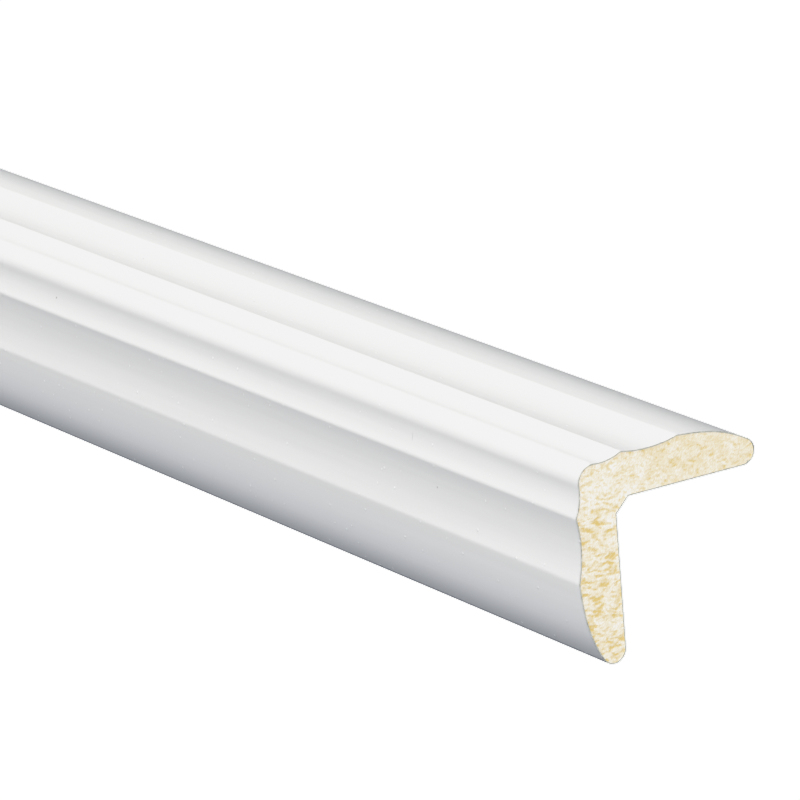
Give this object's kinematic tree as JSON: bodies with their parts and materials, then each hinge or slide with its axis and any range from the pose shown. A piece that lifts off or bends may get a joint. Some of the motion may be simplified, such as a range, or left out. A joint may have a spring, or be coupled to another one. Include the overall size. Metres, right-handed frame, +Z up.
{
  "type": "outside corner moulding",
  "caption": "Straight length of outside corner moulding with an L-shaped section: two tapering legs with a step and a shoulder, a rounded nose and a V behind for the wall's corner.",
  "frame": {"origin": "on the surface that the piece lies on, under the middle of its length and midway between the tips of its two legs", "axes": "+Y along the length, +Z up through the nose, +X towards the tip of the right leg"},
  "size_m": [0.0352, 0.22, 0.0217],
  "materials": {
    "white_coat": "thin smooth satin white coat over a cream pressed wood fibre core, which shows at the two cut ends"
  },
  "bodies": {
    "root": {"corner_moulding": "white_coat"}
  },
  "joints": []
}
